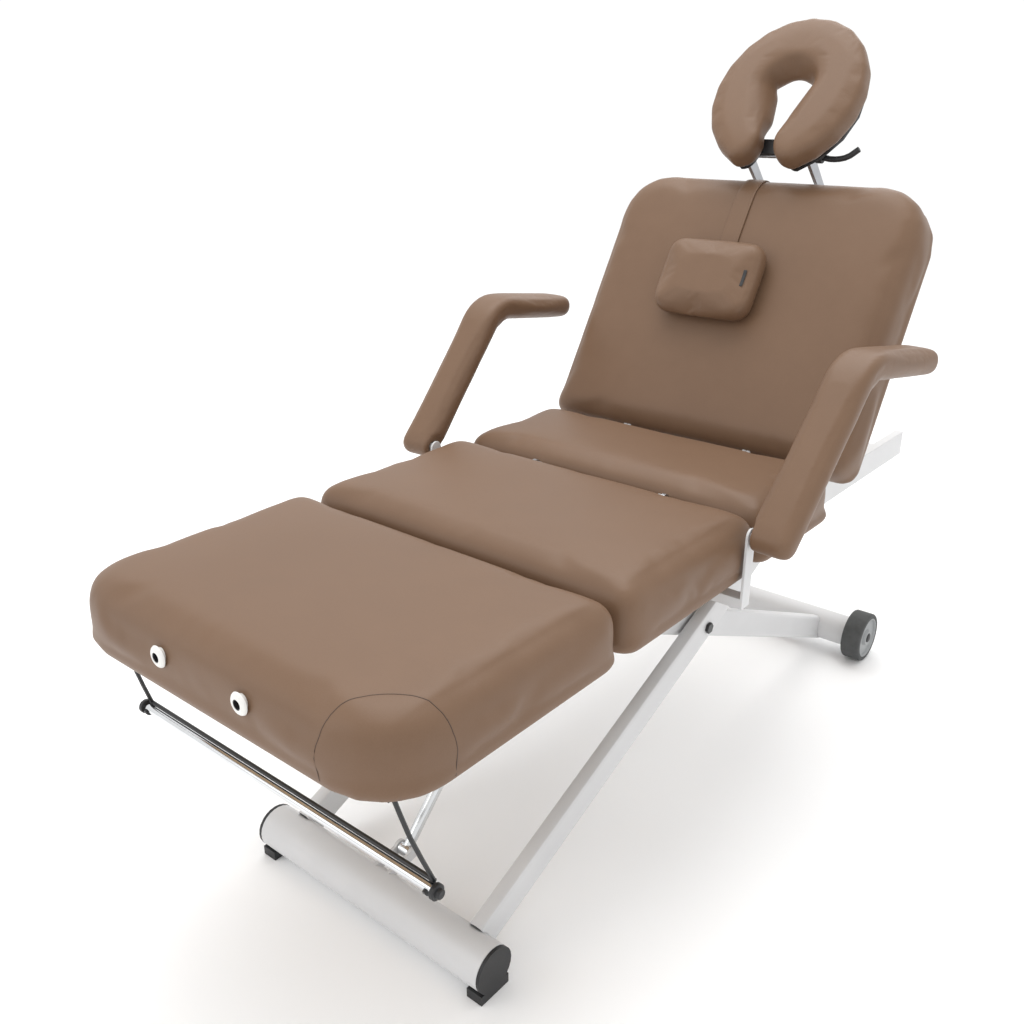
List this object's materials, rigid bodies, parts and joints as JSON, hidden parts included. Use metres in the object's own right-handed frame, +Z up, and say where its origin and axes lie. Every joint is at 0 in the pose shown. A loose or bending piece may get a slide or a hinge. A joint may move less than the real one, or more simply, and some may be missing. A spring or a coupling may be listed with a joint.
{
  "type": "facial treatment bed",
  "caption": "Four-section treatment bed on a scissor lift with rear wheels, reclining back, padded bent armrests, neck pillow, face cradle and paper roll bar.",
  "frame": {"origin": "on the floor, at the middle of the bed's length and width", "axes": "+Z up, +Y from the foot end to the head end, +X to the sitter's left"},
  "size_m": [0.968, 1.9164, 1.5],
  "materials": {
    "white_frame": "light grey white powder coat, satin",
    "vinyl": "brown upholstery vinyl, fine grain, satin",
    "plywood": "plain birch plywood",
    "black_plastic": "black moulded plastic",
    "black_wire": "black coated wire",
    "tyre": "dark grey rubber tread",
    "grey_plastic": "mid grey moulded plastic",
    "white_plastic": "white moulded plastic",
    "chrome": "polished chrome",
    "steel": "zinc plated steel",
    "black_paint": "black paint of the gas strut and bolts"
  },
  "bodies": {
    "feet": {"foot_cap_left": "black_plastic", "foot_cap_right": "black_plastic"},
    "outer_frame": {"front_tube": "white_frame", "outer_arm_left": "white_frame", "outer_arm_right": "white_frame"},
    "inner_frame": {"inner_arm_left": "white_frame", "inner_arm_right": "white_frame", "rear_tube": "white_frame", "inner_crossbar": "white_frame", "scissor_bolt_left": "black_paint", "scissor_bolt_right": "black_paint"},
    "top_frame": {"rail_left": "white_frame", "rail_right": "white_frame", "front_cross": "white_frame", "thigh_cross": "white_frame", "hinge_cross": "white_frame", "rear_cross": "white_frame", "seat_board": "plywood", "seat_cushion": "vinyl", "armrest_bracket_left": "white_frame", "armrest_bracket_right": "white_frame"},
    "roller_left": {"rail_roller_left": "grey_plastic"},
    "roller_right": {"rail_roller_right": "grey_plastic"},
    "wheel_left": {"wheel_hub_left": "grey_plastic", "wheel_tyre_left": "tyre"},
    "wheel_right": {"wheel_hub_right": "grey_plastic", "wheel_tyre_right": "tyre"},
    "lift_rod": {"lift_rod": "chrome"},
    "lift_housing": {"lift_housing": "grey_plastic"},
    "back": {"back_rail_left": "white_frame", "back_rail_right": "white_frame", "back_lever": "white_frame", "back_top_tube": "white_frame", "back_board": "plywood", "back_cushion": "vinyl", "pillow_strap": "vinyl"},
    "back_housing": {"back_housing": "grey_plastic"},
    "back_rod": {"back_rod": "chrome"},
    "thigh": {"thigh_board": "plywood", "thigh_cushion": "vinyl", "thigh_arm_left": "steel", "thigh_arm_right": "steel", "knee_leaf_rear": "steel"},
    "leg": {"knee_leaf_front": "steel", "leg_board": "plywood", "leg_cushion": "vinyl", "grommet_left": "white_plastic", "grommet_right": "white_plastic", "holder_frame": "black_wire"},
    "strut_cylinder": {"strut_cylinder": "black_paint"},
    "strut_rod": {"strut_rod": "chrome"},
    "roll_bar": {"holder_rod": "chrome"},
    "neck_pillow": {"neck_pillow": "vinyl"},
    "cradle_bracket": {"cradle_posts": "steel"},
    "cradle_head": {"cradle_platform": "black_plastic", "face_pillow": "vinyl"},
    "cradle_lever": {"cradle_lever": "black_plastic"},
    "armrest_left": {"armrest_left": "vinyl"},
    "armrest_right": {"armrest_right": "vinyl"}
  },
  "joints": [
    {"name": "lift", "type": "hinge", "parent": "feet", "child": "outer_frame", "pos_m": [0, -0.66675, 0.049], "axis": [1, 0, 0], "range_deg": [-6, 7]},
    {"name": "scissor", "type": "hinge", "parent": "outer_frame", "child": "inner_frame", "pos_m": [0, 0.03702, 0.35647], "axis": [1, 0, 0], "range_deg": [-19, 13]},
    {"name": "top_pivot", "type": "hinge", "parent": "inner_frame", "child": "top_frame", "pos_m": [0, -0.32953, 0.51661], "axis": [1, 0, 0], "range_deg": [-7, 10]},
    {"name": "roller_left_spin", "type": "hinge", "parent": "outer_frame", "child": "roller_left", "pos_m": [0.241, 0.40356, 0.51661], "axis": [1, 0, 0], "continuous": true},
    {"name": "roller_right_spin", "type": "hinge", "parent": "outer_frame", "child": "roller_right", "pos_m": [-0.241, 0.40356, 0.51661], "axis": [1, 0, 0], "continuous": true},
    {"name": "wheel_left_spin", "type": "hinge", "parent": "inner_frame", "child": "wheel_left", "pos_m": [0.293, 0.74078, 0.062], "axis": [1, 0, 0], "continuous": true},
    {"name": "wheel_right_spin", "type": "hinge", "parent": "inner_frame", "child": "wheel_right", "pos_m": [-0.293, 0.74078, 0.062], "axis": [1, 0, 0], "continuous": true},
    {"name": "lift_rod_swing", "type": "hinge", "parent": "outer_frame", "child": "lift_rod", "pos_m": [0, -0.59046, 0.0867], "axis": [1, 0, 0], "range_deg": [-8, 8]},
    {"name": "lift_stroke", "type": "slide", "parent": "lift_rod", "child": "lift_housing", "axis": [0, 0.6888, 0.7249], "range_m": [-0.09, 0.12]},
    {"name": "back_recline", "type": "hinge", "parent": "top_frame", "child": "back", "pos_m": [0, 0.30525, 0.62901], "axis": [1, 0, 0], "range_deg": [-59, 6]},
    {"name": "back_housing_swing", "type": "hinge", "parent": "top_frame", "child": "back_housing", "pos_m": [0, -0.11425, 0.41461], "axis": [1, 0, 0], "range_deg": [-15, 4]},
    {"name": "back_stroke", "type": "slide", "parent": "back_housing", "child": "back_rod", "axis": [0, 0.9827, 0.1852], "range_m": [-0.24, 0.04]},
    {"name": "thigh_tilt", "type": "hinge", "parent": "top_frame", "child": "thigh", "pos_m": [0, -0.03425, 0.62901], "axis": [-1, 0, 0], "range_deg": [0, 20]},
    {"name": "leg_fold", "type": "hinge", "parent": "thigh", "child": "leg", "pos_m": [0, -0.46325, 0.54061], "axis": [-1, 0, 0], "range_deg": [-32, 0]},
    {"name": "strut_swing", "type": "hinge", "parent": "top_frame", "child": "strut_cylinder", "pos_m": [0.169, 0.24325, 0.52461], "axis": [1, 0, 0], "range_deg": [-4, 4]},
    {"name": "strut_stroke", "type": "slide", "parent": "strut_cylinder", "child": "strut_rod", "axis": [0, -1, 0], "range_m": [0, 0.05]},
    {"name": "roll_bar_spin", "type": "hinge", "parent": "leg", "child": "roll_bar", "pos_m": [0, -0.85475, 0.379], "axis": [1, 0, 0], "continuous": true},
    {"name": "pillow_height", "type": "slide", "parent": "back", "child": "neck_pillow", "axis": [0, 0.515, 0.8572], "range_m": [-0.06, 0.06]},
    {"name": "cradle_height", "type": "slide", "parent": "back", "child": "cradle_bracket", "axis": [0, 0.515, 0.8572], "range_m": [0, 0.06]},
    {"name": "cradle_tilt", "type": "hinge", "parent": "cradle_bracket", "child": "cradle_head", "pos_m": [0, 0.6325, 1.21635], "axis": [1, 0, 0], "range_deg": [-35, 8]},
    {"name": "cradle_clamp", "type": "hinge", "parent": "cradle_bracket", "child": "cradle_lever", "pos_m": [0.098, 0.6325, 1.21635], "axis": [1, 0, 0], "range_deg": [0, 45]},
    {"name": "armrest_left_swing", "type": "hinge", "parent": "top_frame", "child": "armrest_left", "pos_m": [0.413, -0.10375, 0.641], "axis": [1, 0, 0], "range_deg": [-45, 0]},
    {"name": "armrest_right_swing", "type": "hinge", "parent": "top_frame", "child": "armrest_right", "pos_m": [-0.413, -0.10375, 0.641], "axis": [1, 0, 0], "range_deg": [-45, 0]}
  ],
  "couplings": [
    {"joint": "scissor", "follows": "lift", "ratio": -2},
    {"joint": "top_pivot", "follows": "lift", "ratio": 1},
    {"joint": "lift_rod_swing", "follows": "lift", "ratio": 0.5285},
    {"joint": "lift_stroke", "follows": "lift", "m_per_rad": 0.5413},
    {"joint": "back_housing_swing", "follows": "back_recline", "ratio": 0.1803},
    {"joint": "back_stroke", "follows": "back_recline", "m_per_rad": 0.1683},
    {"joint": "leg_fold", "follows": "thigh_tilt", "ratio": -1.5},
    {"joint": "strut_swing", "follows": "thigh_tilt", "ratio": -0.045},
    {"joint": "strut_stroke", "follows": "thigh_tilt", "m_per_rad": 0.1032}
  ]
}
